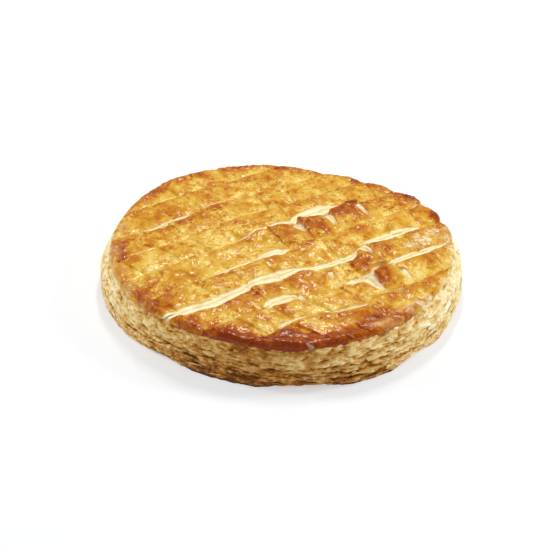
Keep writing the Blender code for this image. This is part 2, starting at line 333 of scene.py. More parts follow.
def scored_lattice():
    """The lattice's lines crossed into a grid: plan place, height over the dome and masks, as arrays.

    Across runs over the long cuts, along over the cross cuts; each bends with the other's place.
    """
    cross = tuple(a[:, None] for a in cell_lines(len(CROSS_CUTS) - 1))
    long = tuple(a[None, :] for a in cell_lines(len(LONG_CUTS) - 1))
    cross_cell, cross_zone, cross_share = cross
    long_cell, long_zone, long_share = long
    places = []
    for cut in (long_cell, long_cell + 1):
        end = LONG_CUTS[cut]
        rough = place_line(CROSS_CUTS, *cross, (end, end), CROSS_GAPES)[0]
        end = cut_line(LONG_CUTS, cut, leaned(rough, end, long_cell), LONG_GAPES)[0]
        places.append(leaned(rough, end, long_cell))
    across, long_room, long_width = place_line(LONG_CUTS, *long, places, LONG_GAPES)
    along, cross_room, cross_width = place_line(CROSS_CUTS, *cross, (across, across), CROSS_GAPES)
    in_long, in_cross = (long_zone != 0) + 0 * along, (cross_zone != 0) + 0 * across
    long_cut, cross_cut = long_cell + (long_zone > 0), cross_cell + (cross_zone > 0)
    long_open = LEAST_OPEN + (1 - LEAST_OPEN) * smooth(0.5 + noise(along / OPEN_RUN, 7.3 * long_cut, 0 * along, 31))
    cross_open = LEAST_OPEN + (1 - LEAST_OPEN) * smooth(0.02 + noise(across / OPEN_RUN, 5.7 * cross_cut, 0 * along, 32))
    long_relief, long_gape = gap_relief(-long_zone * long_share, long_width, long_open)
    cross_relief, cross_gape = gap_relief(-cross_zone * cross_share, cross_width, cross_open)
    swell = 1.0
    sides = ((long_room, in_long, long_open, long_gape), (cross_room, in_cross, cross_open, cross_gape))
    for room, gap, open_share, gape in sides:
        share = np.clip(room / PUFF_RUN, 0, 1) * (1 - gap)
        fall = (0.14 + 0.86 * open_share) * (1 - 0.5 * gape)
        swell = swell * (1 - fall * (1 - np.sqrt(share * (2 - share))))
    relief = np.minimum(long_relief * in_long, cross_relief * in_cross)
    curl = np.zeros(along.shape)
    on_panel = (1 - in_long) * (1 - in_cross)
    for before_cross, before_long, far_along, far_across, lift in CURLED_CORNERS:
        share_along = cross_share if far_along else 1 - cross_share
        share_across = long_share if far_across else 1 - long_share
        here = (cross_cell == before_cross) & (long_cell == before_long)
        curl = curl + lift * share_along**CURL_FALL_ALONG * share_across**CURL_FALL_ACROSS * here * on_panel
    tile, brown = panel_values(cross, long)
    long_fade, cross_fade = smooth((1.05 - long_share) / 0.4), smooth((1.05 - cross_share) / 0.4)
    gape = np.maximum(long_gape * in_long * long_fade, cross_gape * in_cross * cross_fade)
    along = leaned(along, across, long_cell)
    turn_cos, turn_sin = math.cos(SCORE_TURN), math.sin(SCORE_TURN)
    x = along * turn_cos - across * turn_sin
    y = along * turn_sin + across * turn_cos
    strip_round = 4 * long_share * (1 - long_share) * (1 - in_long)
    side = np.maximum((1 - long_share) ** 4 * long_gape * in_long, (1 - cross_share) ** 4 * cross_gape * in_cross)
    return x, y, swell, relief, curl, tile, brown, gape, strip_round, side


def grid_faces(rows, columns, closed):
    """Quads over a grid of points numbered row by row; closed joins the last column to the first."""
    wrap = columns if closed else columns - 1
    row, column = np.meshgrid(np.arange(rows - 1), np.arange(wrap), indexing="ij")
    after = (column + 1) % columns
    quad = (row * columns + column, row * columns + after, (row + 1) * columns + after, (row + 1) * columns + column)
    return np.stack([corner.ravel() for corner in quad], axis=1)


def split_quads(quads, level):
    """Each quad cut in two along the diagonal whose ends lie nearer in level."""
    a, b, c, d = quads.T
    along_first = np.abs(level[a] - level[c]) < np.abs(level[b] - level[d])
    one = np.where(along_first, (a, b, c), (a, b, d))
    other = np.where(along_first, (a, c, d), (b, c, d))
    return np.concatenate([one.T, other.T])


def make_piece(name, points, faces, attributes, material):
    """A mesh object from arrays of points and quads, with a number for each point per attribute.

    A quad that repeats a point becomes a triangle. It rides on the body and stands for the frame's solid.
    """
    used, index = np.unique(faces, return_inverse=True)
    faces = index.reshape(faces.shape)
    mesh = bpy.data.meshes.new(name)
    mesh.vertices.add(len(used))
    mesh.vertices.foreach_set("co", points[used].astype(np.float32).ravel())
    mesh.loops.add(faces.size)
    mesh.loops.foreach_set("vertex_index", faces.astype(np.int32).ravel())
    mesh.polygons.add(len(faces))
    mesh.polygons.foreach_set("loop_start", np.arange(0, faces.size, faces.shape[1], dtype=np.int32))
    mesh.update(calc_edges=True)
    mesh.validate()
    mesh.shade_smooth()
    for key, values in attributes.items():
        stored = mesh.attributes.new(key, "FLOAT", "POINT")
        stored.data.foreach_set("value", values[used].astype(np.float32))
    mesh.materials.append(material)
    piece = bpy.data.objects.new(name, mesh)
    bpy.context.scene.collection.objects.link(piece)
    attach(piece, "root")
    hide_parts("galette")
    return piece


class Wire:
    """A shader value. Sums, products and powers of wires and numbers add their Math nodes."""

    def __init__(self, tree, socket=None):
        self.tree = tree
        self.socket = socket

    def make(self, kind, settings=None, inputs=None, output=0):
        """A node of a kind: its settings first, then numbers, colours or wires for its sockets."""
        node = self.tree.nodes.new(kind)
        for key, value in (settings or {}).items():
            if key == "stops":
                ramp = node.color_ramp
                while len(ramp.elements) < len(value):
                    ramp.elements.new(0.5)
                for element, (position, colour) in zip(ramp.elements, value):
                    element.position = position
                    element.color = colour
            else:
                setattr(node, key, value)
        for key, value in (inputs or {}).items():
            if isinstance(value, Wire):
                self.tree.links.new(value.socket, node.inputs[key])
            else:
                node.inputs[key].default_value = value
        return Wire(self.tree, node.outputs[output])

    def math(self, operation, first, second=0.0, clamp=False):
        settings = {"operation": operation, "use_clamp": clamp}
        return self.make("ShaderNodeMath", settings, {0: first, 1: second})

    def held(self):
        return self.math("ADD", self, 0.0, clamp=True)

    def __add__(self, other):
        return self.math("ADD", self, other)

    def __sub__(self, other):
        return self.math("SUBTRACT", self, other)

    def __rsub__(self, other):
        return self.math("SUBTRACT", other, self)

    def __mul__(self, other):
        return self.math("MULTIPLY", self, other)

    def __pow__(self, other):
        return self.math("POWER", self, other)

    __radd__ = __add__
    __rmul__ = __mul__


def seen(red, green, blue):
    """A colour as it is seen, 0 to 255, turned into the light that it sends back."""
    parts = [value / 255 for value in (red, green, blue)]
    light = [part / 12.92 if part <= 0.04045 else ((part + 0.055) / 1.055) ** 2.4 for part in parts]
    return (*light, 1.0)


def new_material(name):
    """An empty node material: the material, its shader and a wire to make nodes with."""
    material = bpy.data.materials.new(name)
    material.use_nodes = True
    return material, material.node_tree.nodes["Principled BSDF"], Wire(material.node_tree)


def blend(wire, factor, first, second, how="MIX"):
    """Two colours mixed by a factor."""
    settings = {"data_type": "RGBA", "blend_type": how, "clamp_factor": True}
    return wire.make("ShaderNodeMix", settings, {0: factor, 6: first, 7: second}, output=2)


def grain(wire, size, detail=2.0, roughness=0.5, stretch=(1, 1, 1), turn=0.0):
    """Noise from 0 to 1 whose largest forms have this size in metres, turned round +Z by an angle in
    degrees, then stretched along each axis."""
    output = 0
    place = wire.make("ShaderNodeTexCoord", output=3)
    turned = {"Vector": place, "Rotation": (0, 0, math.radians(turn))}
    place = wire.make("ShaderNodeMapping", {}, turned)
    scale = tuple(1 / part for part in stretch)
    place = wire.make("ShaderNodeMapping", {}, {"Vector": place, "Scale": scale})
    inputs = {"Vector": place, "Scale": 1 / size, "Detail": detail, "Roughness": roughness}
    return wire.make("ShaderNodeTexNoise", {}, inputs, output=output)


CRUST_STOPS = (
    (0.00, seen(240, 212, 122)),
    (0.20, seen(225, 182, 76)),
    (0.40, seen(208, 149, 42)),
    (0.60, seen(187, 107, 22)),
    (0.80, seen(162, 75, 10)),
    (1.00, seen(134, 50, 4)),
)
LEAF_PALE = seen(253, 243, 205)
LEAF_GOLD = seen(236, 197, 120)
# Pale pink of glaze flaked off, and of painted sheen on the rim's puffs.
WORN_GLAZE_AND_SHEEN = seen(250, 228, 180)


def crust_material():
    """Egg glaze over browned pastry; in the gapes, bare pale leaves."""
    material, shader, wire = new_material("glazed_crust")
    bake = wire.make("ShaderNodeAttribute", {"attribute_name": "bake"}, output=2)
    pale = wire.make("ShaderNodeAttribute", {"attribute_name": "pale"}, output=2)
    side = wire.make("ShaderNodeAttribute", {"attribute_name": "side"}, output=2)
    worn = wire.make("ShaderNodeAttribute", {"attribute_name": "worn"}, output=2)
    mottle = grain(wire, 9 * MM, detail=5.0, roughness=0.62) - 0.5
    speckle = grain(wire, 3.0 * MM, detail=3.0, roughness=0.6) - 0.5
    # Thin ridges in three directions: bumps, and paler strokes in the colour that are painted highlights standing in
    # for glints.
    ridges = []
    for size, stretch, turn in ((3.6, 2.6, 15), (4.4, 2.6, -30), (5.4, 2.2, 70)):
        streak = grain(wire, size * MM, detail=1.0, roughness=0.4, stretch=(1, stretch, 1), turn=turn)
        ridges.append(1 - 12 * wire.math("ABSOLUTE", streak - 0.5))
    crest_and_painted_glint = wire.math("MAXIMUM", wire.math("MAXIMUM", ridges[0], ridges[1]), ridges[2] * 0.8).held()
    crest_and_painted_glint = crest_and_painted_glint * (grain(wire, 12 * MM, detail=2.0) * 4 - 1.6).held()
    # Fine crease lines: the bump dips along them, and their darker colour is painted shade.
    crease = 1 - 16 * wire.math("ABSOLUTE", grain(wire, 9 * MM, detail=2.0, stretch=(1.6, 1, 1), turn=-20) - 0.47)
    crease = crease.held() * (grain(wire, 13 * MM, detail=1.0) * 3 - 1.1).held()
    wrinkle = grain(wire, 4.0 * MM, detail=1.5, roughness=0.5, stretch=(1, 2.8, 1), turn=14)
    wrinkle = wrinkle + grain(wire, 4.6 * MM, detail=1.5, roughness=0.5, stretch=(1, 2.6, 1), turn=-28)
    # Paler wrinkle tops are painted highlight as well: they tint the glints cream.
    browned = (bake + 0.03 + 0.66 * mottle + 0.44 * speckle - 0.34 * crest_and_painted_glint + 0.3 * crease - 0.3 * (wrinkle - 1.0)).held()
    crust = wire.make("ShaderNodeValToRGB", {"stops": CRUST_STOPS}, {0: browned})
    edge = grain(wire, 2.6 * MM, detail=4.0, roughness=0.6, stretch=(5, 1, 1), turn=-34)
    leaf_mix = (edge * 2.8 - 1.42 + 1.5 * mottle + side).held()
    leaf = blend(wire, leaf_mix, LEAF_PALE, LEAF_GOLD)
    ragged = 6 * pale * (1 - pale)
    pale = (pale + ragged * (1.3 * speckle + 0.2 * (edge - 0.5) + 0.12 * crest_and_painted_glint)).held()
    # Flecks of that pale pink: painted sheen on the rim's puffs, and flaked glaze where BARE_SPOTS lie.
    flecks_and_sheen = (worn * (0.75 + 4.0 * speckle + 2.0 * mottle)).held()
    crust = blend(wire, flecks_and_sheen, crust, WORN_GLAZE_AND_SHEEN)
    colour = blend(wire, pale, crust, leaf)
    wire.tree.links.new(colour.socket, shader.inputs["Base Color"])
    coat = (1 - pale) * 0.03
    wire.tree.links.new(coat.socket, shader.inputs["Coat Weight"])
    shader.inputs["Coat Roughness"].default_value = 0.14
    shader.inputs["Specular IOR Level"].default_value = 0.18
    rough = 0.18 + 0.5 * pale + 0.2 * flecks_and_sheen + 0.3 * (speckle + 0.1).held()
    wire.tree.links.new(rough.socket, shader.inputs["Roughness"])
    relief = (1 - 0.8 * flecks_and_sheen) * (0.54 * wrinkle + 0.2 * crest_and_painted_glint) - 0.25 * crease + 0.5 * pale * edge
    normal = wire.make("ShaderNodeBump", {}, {"Height": relief, "Strength": 1.0, "Distance": 1.0 * MM})
    wire.tree.links.new(normal.socket, shader.inputs["Normal"])
    return material


WRINKLE = 0.3 * MM
FOLD = 0.8 * MM
BLISTER = 0.5 * MM
ROLL = 1.1 * MM
BARE_LEAVES = 0.55 * MM
SWAY = 1.5 * MM
SINK = 1.0 * MM
SCALLOP = 3.6 * MM
TOP = 36.8 * MM
TOP_EASE = 0.6 * MM
RING = 1.0 * MM
# Where the lip sags over the side, and where the rim is browner: the direction in degrees, how many
# degrees to each side, then how far it sags, or how far in the browning reaches and its strength.
SAGS = (
    (-160, 14, 1.0),
    (-146, 9, 2.0),
    (-115, 14, 1.0),
    (-98, 6, 0.6),
    (-89, 7, 2.3),
    (-70, 9, 1.6),
    (-38, 9, 1.5),
    (20, 25, 0.8),
    (90, 30, 0.8),
    (155, 25, 0.8),
)
RIM_BROWNS = (
    (-178, 14, 12, 0.12),
    (-159, 12, 8, 0.22),
    (-141, 13, 11, 0.32),
    (-114, 16, 12, 0.42),
    (-98, 11, 10, 0.42),
    (-86, 9, 18, 0.42),
    (-71, 13, 13, 0.46),
    (-54, 10, 15, 0.38),
    (-41, 9, 5, 0.25),
    (-100, 42, 3.5, 0.2),
    (10, 20, 6, 0.12),
    (20, 4.5, 9, 0.45),
    (33, 6, 7, 0.3),
    (52, 30, 9, 0.26),
    (95, 26, 8, 0.16),
    (140, 30, 10, 0.2),
)
# Puffed stretches of the rim: direction, degrees to each side, height, and how pale the top is, as painted sheen and
# worn glaze.
RIM_PUFFS = (
    (-150, 4.5, 1.6, 0.12),
    (-138.5, 5.0, 1.7, 0.06),
    (-160, 5.5, 1.5, 0.12),
    (-172, 6.5, 1.5, 0.15),
    (173, 7.0, 1.4, 0.15),
    (-120, 6.5, 1.3, 0.0),
    (-107, 7.5, 1.2, 0.0),
    (-88, 9, 1.2, 0.0),
    (-69, 9, 1.2, 0.0),
    (-52, 6, 1.2, 0.25),
    (-40, 5.5, 1.0, 0.25),
    (21, 3.5, 1.8, 0.0),
    (33, 5, 1.4, 0.1),
    (9, 6, 1.2, 0.3),
)
# Where a cut splits the rim and shows pale: direction, degrees to each side, how far in.
RIM_NOTCHES = ((-81, 0.65, 5.0), (-129, 1.5, 8), (-38, 1.2, 8))
# Where the glazed leaf has flaked off: x, y, reach and how bare.
BARE_SPOTS = (
    (99, 8, 13, 0.9),
    (108, 20, 9, 0.9),
    (90, -1, 8, 0.9),
    (118, -4, 10, 0.8),
    (121, -18, 10, 0.8),
    (119, -32, 10, 0.8),
    (112, -44, 9, 0.7),
    (119, 10, 8, 0.8),
    (97, -63, 7, 0.7),
    (-101, -56, 7, 0.55),
    (-91, -75, 6, 0.4),
)
# Browner or paler places: x, y, reach and how much browner.
SPOTS = (
    (-64, 32, 20, 0.16),
    (50, 46, 20, 0.18),
    (25, 21, 18, 0.18),
    (57, -21, 16, 0.2),
    (66, -43, 16, 0.22),
    (92, 75, 28, 0.14),
    (-14, -67, 24, 0.12),
    (-80, -72, 26, 0.16),
    (-110, -10, 26, 0.14),
    (-30, 82, 30, -0.06),
    (80, 62, 30, 0.16),
    (-50, 5, 34, -0.14),
    (-84, -16, 30, -0.14),
    (76, 44, 26, -0.12),
    (22, -6, 22, -0.1),
    (86, -28, 24, -0.14),
)


def turned_from(angle, degrees):
    """How many degrees a direction lies from another one, -180 to 180."""
    return (np.degrees(angle) - degrees + 180) % 360 - 180


def glazed_crust():
    """The crust as the lattice's grid, laid over the dome and rolled over the rim.

    Next to the rim the grid's points snap to rings RING apart. Within the rim, height = dome + puff * swell + relief + curl + wrinkles. Past the start of the roll
    the surplus length runs round a quarter circle of LIP_RADIUS and then straight down, with the same
    height laid along the surface's own normal.
    """
    x, y, swell, relief, curl, tile, brown, gape, strip_round, side = scored_lattice()
    sway_x = SWAY * noise(x / (22 * MM), y / (22 * MM), 0 * x, 3)
    sway_y = SWAY * noise(x / (22 * MM), y / (22 * MM), 0 * x, 4)
    x, y = x + sway_x, y + sway_y
    angle, reach = np.arctan2(y, x), np.hypot(x, y)
    scallop = SCALLOP * (strip_round - 0.95) * bump(turned_from(angle, 45), 62)
    rim = rim_radius(angle) + scallop
    start = rim - LIP_RADIUS
    ring = np.round((reach - start) / RING) * RING
    reach = np.where(np.abs(reach - start - 2 * RING) < 2.5 * RING, start + ring, reach)
    wave = fractal(np.cos(angle) * 9, np.sin(angle) * 9, 0 * angle, 11, 2)
    sag = sum(drop * bump(turned_from(angle, place), spread) for place, spread, drop in SAGS)
    longest = LIP_RADIUS * math.pi / 2 + LIP_DROP + LIP_DROP_WAVE * wave + sag * MM
    surplus = np.clip(reach - start, 0, longest)
    outside = reach - start > longest
    turn = np.minimum(surplus / LIP_RADIUS, math.pi / 2)
    drop = np.maximum(surplus - LIP_RADIUS * math.pi / 2, 0)
    share = np.minimum(reach, start) / rim
    dome = rim_height(angle) + MIDDLE_RISE * (1 - share**2)
    near_rim = 1 - smooth((rim - reach) / RIM_PUFF_RUN)
    puff = PUFF * (1 - (1 - RIM_PUFF_SHARE) * near_rim)
    wrinkles = WRINKLE * fractal(x / (5 * MM), y / (6 * MM), 0 * x, 21, 2)
    warp = 3 * MM * noise(x / (14 * MM), y / (14 * MM), 0 * x, 6)
    folds = FOLD * (0.55 - np.abs(fractal((x + warp) / (10 * MM), (y - warp) / (13 * MM), 0 * x, 5, 2)))
    roll = bump(rim - reach - 3.5 * MM, 5.5 * MM) - 0.6 * bump(rim - reach - 9.5 * MM, 3.5 * MM)
    roll = ROLL * roll * (0.35 + 0.65 * (0.5 - 0.5 * np.cos(angle - math.radians(20))))
    blister, luck = cells(x / (3.4 * MM), y / (5.5 * MM), 8)
    blisters = BLISTER * bump(blister, 0.5) * (luck > 0.5) * luck
    bare = smooth(gape)
    surface = (wrinkles + folds + blisters) * (1 - 0.8 * bare) * (0.4 + 0.6 * swell) * (1 - 0.4 * near_rim)
    height = puff * swell + curl + relief * (1 - 0.35 * near_rim) + tile * (1 - 0.5 * near_rim) + surface
    lumps, worn, between = 0, 0, 0
    for place, spread, lift, wear_and_sheen in RIM_PUFFS:
        lump = np.sqrt(bump(turned_from(angle, place) + (rim - reach) / MM * 0.4, spread))
        lumps = lumps + lift * lump
        worn = worn + wear_and_sheen * smooth((lump - 0.25) / 0.2)
        # A ring round each puff's edge, browner: painted shade in the creases between puffs.
        between = between + wear_and_sheen * bump(lump - 0.2, 0.2)
    at_rim = np.sqrt(bump(rim - reach - 3.5 * MM, 8 * MM))
    lumps = lumps * MM * at_rim
    run, aside = x * math.cos(SCORE_TURN) + y * math.sin(SCORE_TURN), y * math.cos(SCORE_TURN) - x * math.sin(SCORE_TURN)
    leaves = BARE_LEAVES * bare * fractal(run / (7 * MM), aside / (1.8 * MM), 0 * x, 17, 2)
    height = (height + roll + lumps + leaves) * (1 - 0.85 * np.sin(turn)) - 0.5 * puff * near_rim * np.sin(turn)
    radius = np.minimum(reach, start) + LIP_RADIUS * np.sin(turn) + height * np.sin(turn)
    z = dome - LIP_RADIUS * (1 - np.cos(turn)) - drop + height * np.cos(turn) - SINK * (1 - 0.7 * near_rim)
    over = np.maximum(z - TOP + TOP_EASE, 0)
    z = z - over + TOP_EASE * (1 - np.exp(-over / TOP_EASE))
    points = np.stack([radius * np.cos(angle) + PLAN_SHIFT[0], radius * np.sin(angle) + PLAN_SHIFT[1], z], axis=-1)
    bake = 0.32 + brown * (1 - 0.5 * near_rim) + (0.13 * (puff * swell - 1.3 * MM) + 0.1 * surface) / MM
    # Browner in the closed cuts' creases: painted shade there.
    crease = np.clip(-relief / CREASE_DEPTH, 0, 1) * (1 - gape)
    bake = bake + 0.02 + 0.1 * near_rim + 0.06 * curl / MM + 0.25 * crease
    inward = (rim - reach) / MM
    for place, spread, depth, amount in RIM_BROWNS:
        ragged = depth * (1 + 0.35 * fractal(x / (9 * MM), y / (9 * MM), 0 * x, 50, 2))
        bake = bake + amount * bump(turned_from(angle, place), spread) ** 0.6 * smooth((1.3 * ragged - inward) / (0.7 * ragged))
    bake = bake + 0.14 * fractal(x / (22 * MM), y / (22 * MM), 0 * x, 40, 2)
    # On the turned lip: paler, painted light that offsets the shade on its steep face; browner toward the front.
    bake = bake + (0.34 * bump(turned_from(angle, -80), 58) - 0.2) * np.sin(turn)
    for spot_x, spot_y, spot_reach, amount in SPOTS:
        off = np.hypot(x + PLAN_SHIFT[0] - spot_x * MM, y + PLAN_SHIFT[1] - spot_y * MM)
        bake = bake + amount * bump(off, spot_reach * MM)
    # Painted shade between the rim's puffs.
    bake = bake + 0.6 * between * at_rim
    torn = fractal(x / (3.6 * MM), y / (3.6 * MM), 0 * x, 51, 3)
    pale = bare * (1 - 0.75 * np.sin(turn))
    for place, spread, depth in RIM_NOTCHES:
        pale = np.maximum(pale, 0.55 * bump(turned_from(angle, place) + 0.2 * inward, spread) * bump(inward, depth))
    # The puffs' pale tops: painted sheen, weaker on the turned lip.
    worn = 1.1 * worn * smooth((at_rim - 0.35) / 0.3) * np.clip(0.8 + 1.0 * torn, 0, 1.4) * (1 - 0.6 * np.sin(turn))
    for bare_x, bare_y, bare_reach, amount in BARE_SPOTS:
        off = np.hypot(x + PLAN_SHIFT[0] - bare_x * MM, y + PLAN_SHIFT[1] - bare_y * MM)
        worn = np.maximum(worn, amount * smooth(3 * (bump(off, bare_reach * MM) + 0.7 * torn - 0.35)))
    rows, columns = x.shape
    faces = grid_faces(rows, columns, closed=False)
    faces = split_quads(faces, reach.ravel())
    keep = ~outside.ravel()[faces].all(axis=1)
    attributes = {
        "bake": np.clip(bake, 0, 1).ravel(),
        "pale": pale.ravel(),
        "side": side.ravel(),
        "worn": np.clip(worn, 0, 1).ravel(),
    }
    return make_piece("glazed_crust", points.reshape(-1, 3), faces[keep], attributes, crust_material())


glazed_crust()

# ---------------------------------------------------------------------------
# The side. The cut edges of the two sheets of pastry, the upper one over the lower one, each risen
# into dozens of thin leaves that bulge, split and crumble; pale and dry, browner towards the base.
# ---------------------------------------------------------------------------

BELLY_RADIUS = 125.6 * MM
BELLY_LOBES = ((1, 0.7 * MM, -55.0), (2, 2.6 * MM, -37.0), (3, 1.3 * MM, 35.0), (4, 1.2 * MM, 19.0))
SEAM_SHARE = 0.385
SEAM_RISE = ((2, 1.0 * MM, 200.0), (5, 0.5 * MM, 20.0))
SEAM_SHIFT = 3.0 * MM
SIDE_COLUMNS = 1300
ROUGHEST_TURN = math.radians(-35.0)
GROOVE = 0.16
SEAM_DEPTH = 2.0 * MM
SHELF = 7.0 * MM
SHELF_DIP = 1.6 * MM
# Where the foot of the cake tucks in more: direction, degrees to each side, how far.
FOOT_TUCKS = (
    (-130, 14, 2.5),
    (-83, 14, 7.5),
    (-46, 9, 6.0),
)
# Cracks: direction and degrees to each side, height above the table, thickness.
CRACKS = (
    (-128, 8, 15.5, 1.5),
    (-119, 5, 12.5, 1.6),
    (-112, 5, 16.5, 1.2),
    (-104, 5, 11.5, 1.2),
    (-97, 6, 8.5, 1.2),
    (-92, 5, 14.5, 1.2),
    (-79, 8, 16.0, 1.1),
    (-72, 10, 13.0, 1.2),
    (-64, 20, 14.6, 1.3),
    (-68, 11, 10.0, 1.2),
    (-70, 9, 7.0, 1.2),
    (-63, 9, 4.2, 1.1),
    (-52, 8, 9.5, 1.6),
    (-58, 7, 20.5, 1.6),
    (-44, 8, 13.5, 1.8),
    (-34, 9, 9.0, 1.6),
    (-25, 8, 15.0, 1.6),
)

SIDE_STOPS = (
    (0.00, seen(255, 246, 208)),
    (0.25, seen(243, 217, 153)),
    (0.50, seen(217, 173, 99)),
    (0.75, seen(176, 113, 40)),
    (1.00, seen(102, 57, 13)),
)


def side_material():
    """Dry baked leaves: cream where they are fresh torn, browner toward the base, and darker in the pits, as painted
    shade and browner pastry.
    """
    material, shader, wire = new_material("flaky_side")
    bake = wire.make("ShaderNodeAttribute", {"attribute_name": "bake"}, output=2)
    pit = wire.make("ShaderNodeAttribute", {"attribute_name": "pit"}, output=2)
    mottle = grain(wire, 9 * MM, detail=5.0, roughness=0.62, stretch=(1, 1, 0.6)) - 0.5
    fibre = grain(wire, 3.5 * MM, detail=4.0, roughness=0.65, stretch=(1, 1, 0.55)) - 0.5
    browned = (bake + 0.5 * mottle + 0.6 * fibre + pit).held()
    colour = wire.make("ShaderNodeValToRGB", {"stops": SIDE_STOPS}, {0: browned})
    wire.tree.links.new(colour.socket, shader.inputs["Base Color"])
    rough = 0.62 + 0.3 * fibre
    wire.tree.links.new(rough.socket, shader.inputs["Roughness"])
    shader.inputs["Specular IOR Level"].default_value = 0.15
    relief = grain(wire, 3.5 * MM, detail=4.0, roughness=0.6, stretch=(1, 1, 0.6))
    normal = wire.make("ShaderNodeBump", {}, {"Height": relief, "Strength": 0.7, "Distance": 0.8 * MM})
    wire.tree.links.new(normal.socket, shader.inputs["Normal"])
    return material


def leaf_relief(angle, down, height, leaves, seed):
    """How far a sheet's torn edge juts at each place, how much darker it is there (painted shade in the grooves, partly
    browner pastry, and paler where it juts), how ragged.

    Lumps, shreds and fibres are noises of falling size, each several times as long round the cake as
    it is high, and stronger where the side is ragged. Between leaves, wavy bands one over the other,
    a groove opens by another noise: smooth(1 - distance / GROOVE).
    """
    x, y = BELLY_RADIUS * np.cos(angle), BELLY_RADIUS * np.sin(angle)
    z = down * height
    rough = 0.1 + 0.9 * ((1 + np.cos(angle - ROUGHEST_TURN)) / 2) ** 1.5
    rough = np.clip(rough * (1 + 0.4 * noise(x / (26 * MM), y / (26 * MM), 0 * z, seed)), 0, 1.2)
    lumps = fractal(x / (10 * MM), y / (10 * MM), z / (4.0 * MM), seed + 1, 2)
    shreds = fractal(x / (3.6 * MM), y / (3.6 * MM), z / (1.8 * MM), seed + 3, 2)
    fibre = noise(x / (1.7 * MM), y / (1.7 * MM), z / (0.9 * MM), seed + 6)
    band = down * leaves + 0.9 * noise(x / (24 * MM), y / (24 * MM), down * 1.5, seed + 7)
    band = band + 0.3 * noise(x / (6 * MM), y / (6 * MM), down * 2.5, seed + 8)
    seam = np.floor(band + 0.5)
    opened = smooth(0.1 + 0.25 * rough + 1.6 * noise(x / (9 * MM), y / (9 * MM), seam * 7.1, seed + 9))
    groove = smooth(1 - np.abs(band - seam) / GROOVE) * opened
    ledge = noise(x / (14 * MM), y / (14 * MM), np.floor(band) * 5.3, seed + 10) * smooth(4 * np.abs(band - seam))
    jut = (0.35 + 0.9 * rough) * lumps + (0.2 + 0.5 * rough) * shreds + (0.12 + 0.14 * rough) * fibre
    jut = jut + (0.2 + 0.5 * rough) * ledge - (0.45 + 0.5 * rough) * groove
    # Darker in the grooves: painted shade, partly browner pastry; paler on lumps and shreds that jut.
    brown = (0.2 + 0.12 * rough) * groove - (0.08 + 0.16 * rough) * lumps - (0.1 + 0.14 * rough) * shreds - 0.1 * fibre
    return jut * MM, brown, rough


def side_grid(rows):
    angle = np.linspace(0, 2 * math.pi, SIDE_COLUMNS, endpoint=False)[None, :]
    down = np.linspace(0, 1, rows)[:, None]
    return angle + 0 * down, down + 0 * angle


def side_points(radius, angle, z):
    return np.stack(
        [radius * np.cos(angle) + PLAN_SHIFT[0], radius * np.sin(angle) + PLAN_SHIFT[1], z], axis=-1
    ).reshape(-1, 3)


def seam_height(angle):
    """How high above the table the two sheets meet."""
    height = rim_height(angle) * SEAM_SHARE + lobed(angle, SEAM_RISE)
    return height + SEAM_SHIFT * (bump(turned_from(angle, -114), 18) - bump(turned_from(angle, -145), 18))


def seam_depth(angle):
    """How open the groove between the sheets is: wide on the left, almost shut from the front onward."""
    off = turned_from(angle, -170)
    wander = fractal(np.cos(angle) * 7, np.sin(angle) * 7, 0 * angle, 90, 2)
    return np.clip((0.7 + 0.4 * wander) * smooth((46 - np.abs(off)) / 24) + 0.12 + 0.25 * wander, 0.04, 1.0)


def cracks(angle, z):
    """Long cracks between leaves, each a thin lens round its own direction and height."""
    total = 0
    for place, spread, height, thickness in CRACKS:
        wander = 1.2 * noise(angle * 9, height + 0 * z, 0 * z, 95) + 0.5 * noise(angle * 40, height + 0 * z, 0 * z, 96)
        lens = bump(turned_from(angle, place), spread)
        total = np.maximum(total, lens * bump(z / MM - height - wander, thickness * (0.4 + lens)))
    return total


def foot_tuck(angle, down):
    """How far the lower sheet draws in towards its foot: most where FOOT_TUCKS says."""
    foot = sum(depth * bump(turned_from(angle, place), spread) for place, spread, depth in FOOT_TUCKS)
    foot = foot + 0.7 * fractal(np.cos(angle) * 20, np.sin(angle) * 20, 0 * angle, 91, 2)
    return (1.6 + foot) * MM * np.clip((down - 0.4) / 0.6, 0, 1) ** 2


def upper_sheet(material):
    """From under the lip down to the seam: rim + (belly - rim) * sin, tucked in at both ends.

    The first ring lies SHELF further in, a ledge under the crust that shuts the scallops' gaps.
    """
    rows = 72
    angle, down = side_grid(rows)
    rim, belly = rim_radius(angle), BELLY_RADIUS + lobed(angle, BELLY_LOBES)
    top = rim_height(angle) - 0.6 * MM
    seam = seam_height(angle)
    z = top + (seam - top) * down
    out = np.sin(np.clip(down * 1.25, 0, 1) * math.pi / 2) ** 1.2
    open_seam = seam_depth(angle)
    tuck = SEAM_DEPTH * open_seam * (1 - np.sqrt(1 - np.clip((down - 0.8) / 0.2, 0, 0.999) ** 2))
    jut, pit, rough = leaf_relief(angle, down, 17 * MM, 6.0, 60)
    split = cracks(angle, z)
    tuck = tuck + 6.0 * MM * smooth((down - 0.97) / 0.03)
    radius = rim - 1.8 * MM + (belly - rim + 1.5 * MM) * out - tuck + (jut - 1.0 * MM * split) * smooth(down / 0.1)
    # Darker toward the front: painted shade, in part browner pastry. Paler on the left: painted light.
    front = (0.5 - 0.5 * np.sin(angle + math.radians(2))) ** 5
    left = bump(turned_from(angle, -160), 65)
    # Darker in the cracks: painted shade.
    pit = pit * (1 + left) + 0.3 * split
    bake = 0.38 - 0.11 * left + 0.1 * smooth(down * 2 - 1) + 0.42 * front - 0.28 * rough
    # Browner just under the lip at the front: painted shadow of the lip.
    bake = bake + 0.17 * front * (1 - smooth(down / 0.45)) + 0.28 * open_seam * smooth((down - 0.9) / 0.08)
    radius[0] = radius[0] - SHELF
    z[0] = z[0] - SHELF_DIP
    faces = grid_faces(rows, SIDE_COLUMNS, closed=True)[:, ::-1]
    attributes = {"bake": bake.ravel(), "pit": pit.ravel()}
    return make_piece("upper_sheet", side_points(radius, angle, z), faces, attributes, material)


